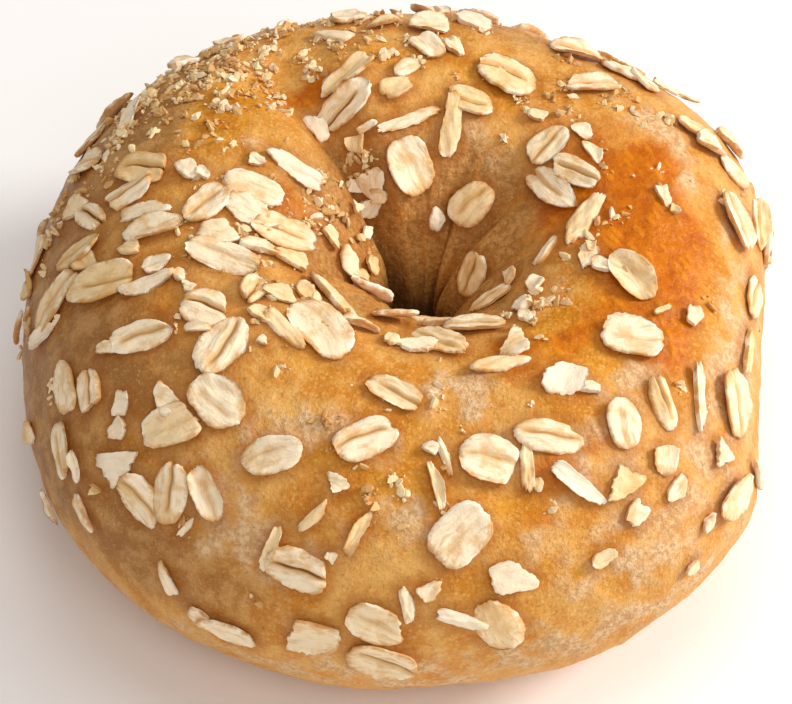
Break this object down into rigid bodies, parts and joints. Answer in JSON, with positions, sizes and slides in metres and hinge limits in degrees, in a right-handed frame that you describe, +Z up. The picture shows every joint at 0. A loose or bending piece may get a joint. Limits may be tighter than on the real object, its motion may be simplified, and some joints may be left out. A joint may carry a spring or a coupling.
{
  "type": "bagel",
  "caption": "Puffy hand-rolled bagel with a narrow hole, its crust covered in baked-on rolled oat flakes.",
  "frame": {"origin": "middle of the bagel seen from above, at the level of the tray it stands on", "axes": "+Z up through the hole, +X to the right and +Y away from the camera that took the picture"},
  "size_m": [0.1094, 0.112, 0.0521],
  "materials": {
    "crust": "satin baked crust",
    "oat_flakes": "matt dry flakes"
  },
  "bodies": {
    "root": {"bagel": "crust"}
  },
  "joints": []
}
